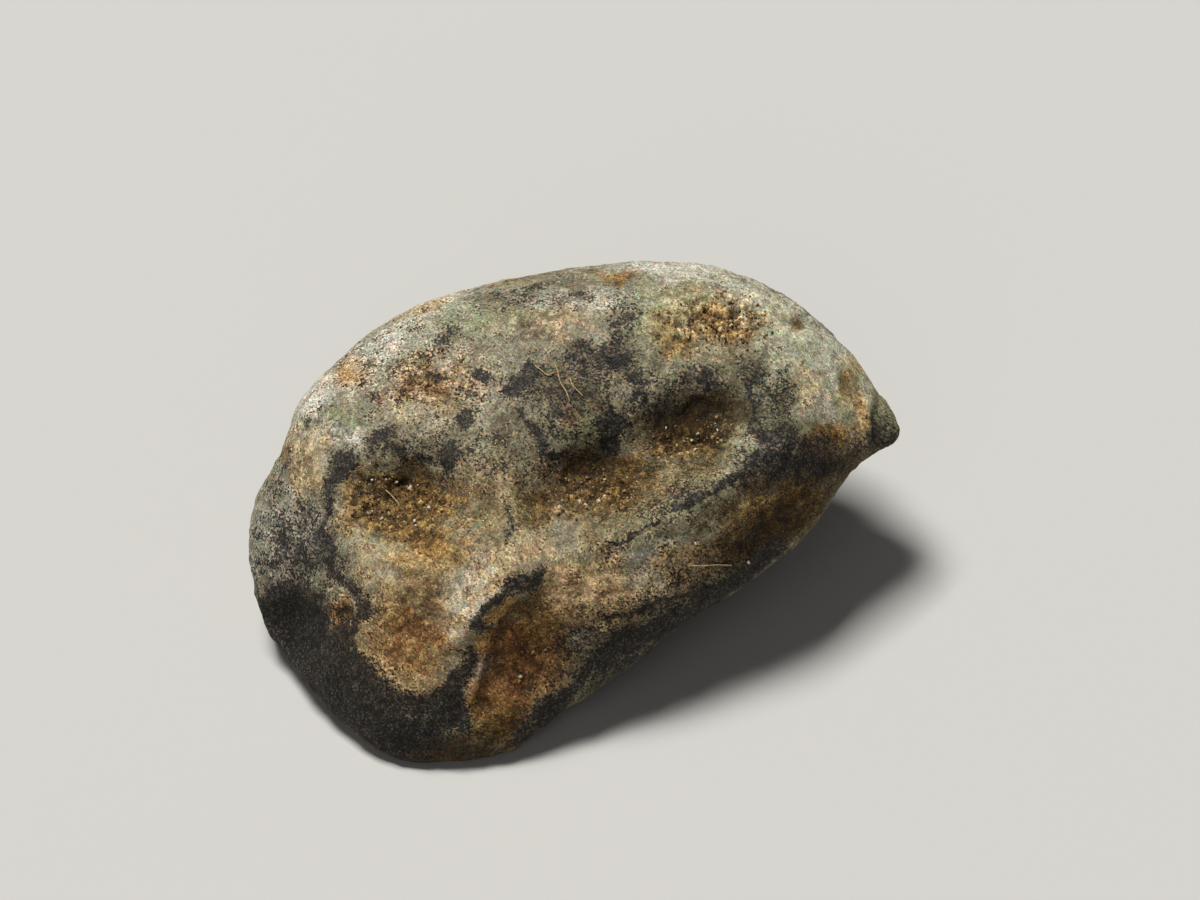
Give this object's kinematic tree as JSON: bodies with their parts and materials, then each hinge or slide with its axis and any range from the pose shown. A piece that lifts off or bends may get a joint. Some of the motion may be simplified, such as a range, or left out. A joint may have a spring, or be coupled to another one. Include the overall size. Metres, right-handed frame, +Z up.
{
  "type": "saffordite nodule",
  "caption": "Small lumpy nodule of natural glass with a pointed beak, thumbprint hollows, an ochre and grey weathered skin and dark varnish, resting on a worn flat.",
  "frame": {"origin": "middle of the bounding box in plan, on the plane of the flat that the stone rests on", "axes": "+X along the long axis towards the beak, +Y towards the back of the stone, away from the broad hollowed face, +Z up out of the resting flat"},
  "size_m": [0.028, 0.0204, 0.0126],
  "materials": {
    "weathered_stone": "dull weathered skin of pale grey-green and ochre patina with patches of dark varnish"
  },
  "bodies": {
    "root": {"stone": "weathered_stone"}
  },
  "joints": []
}
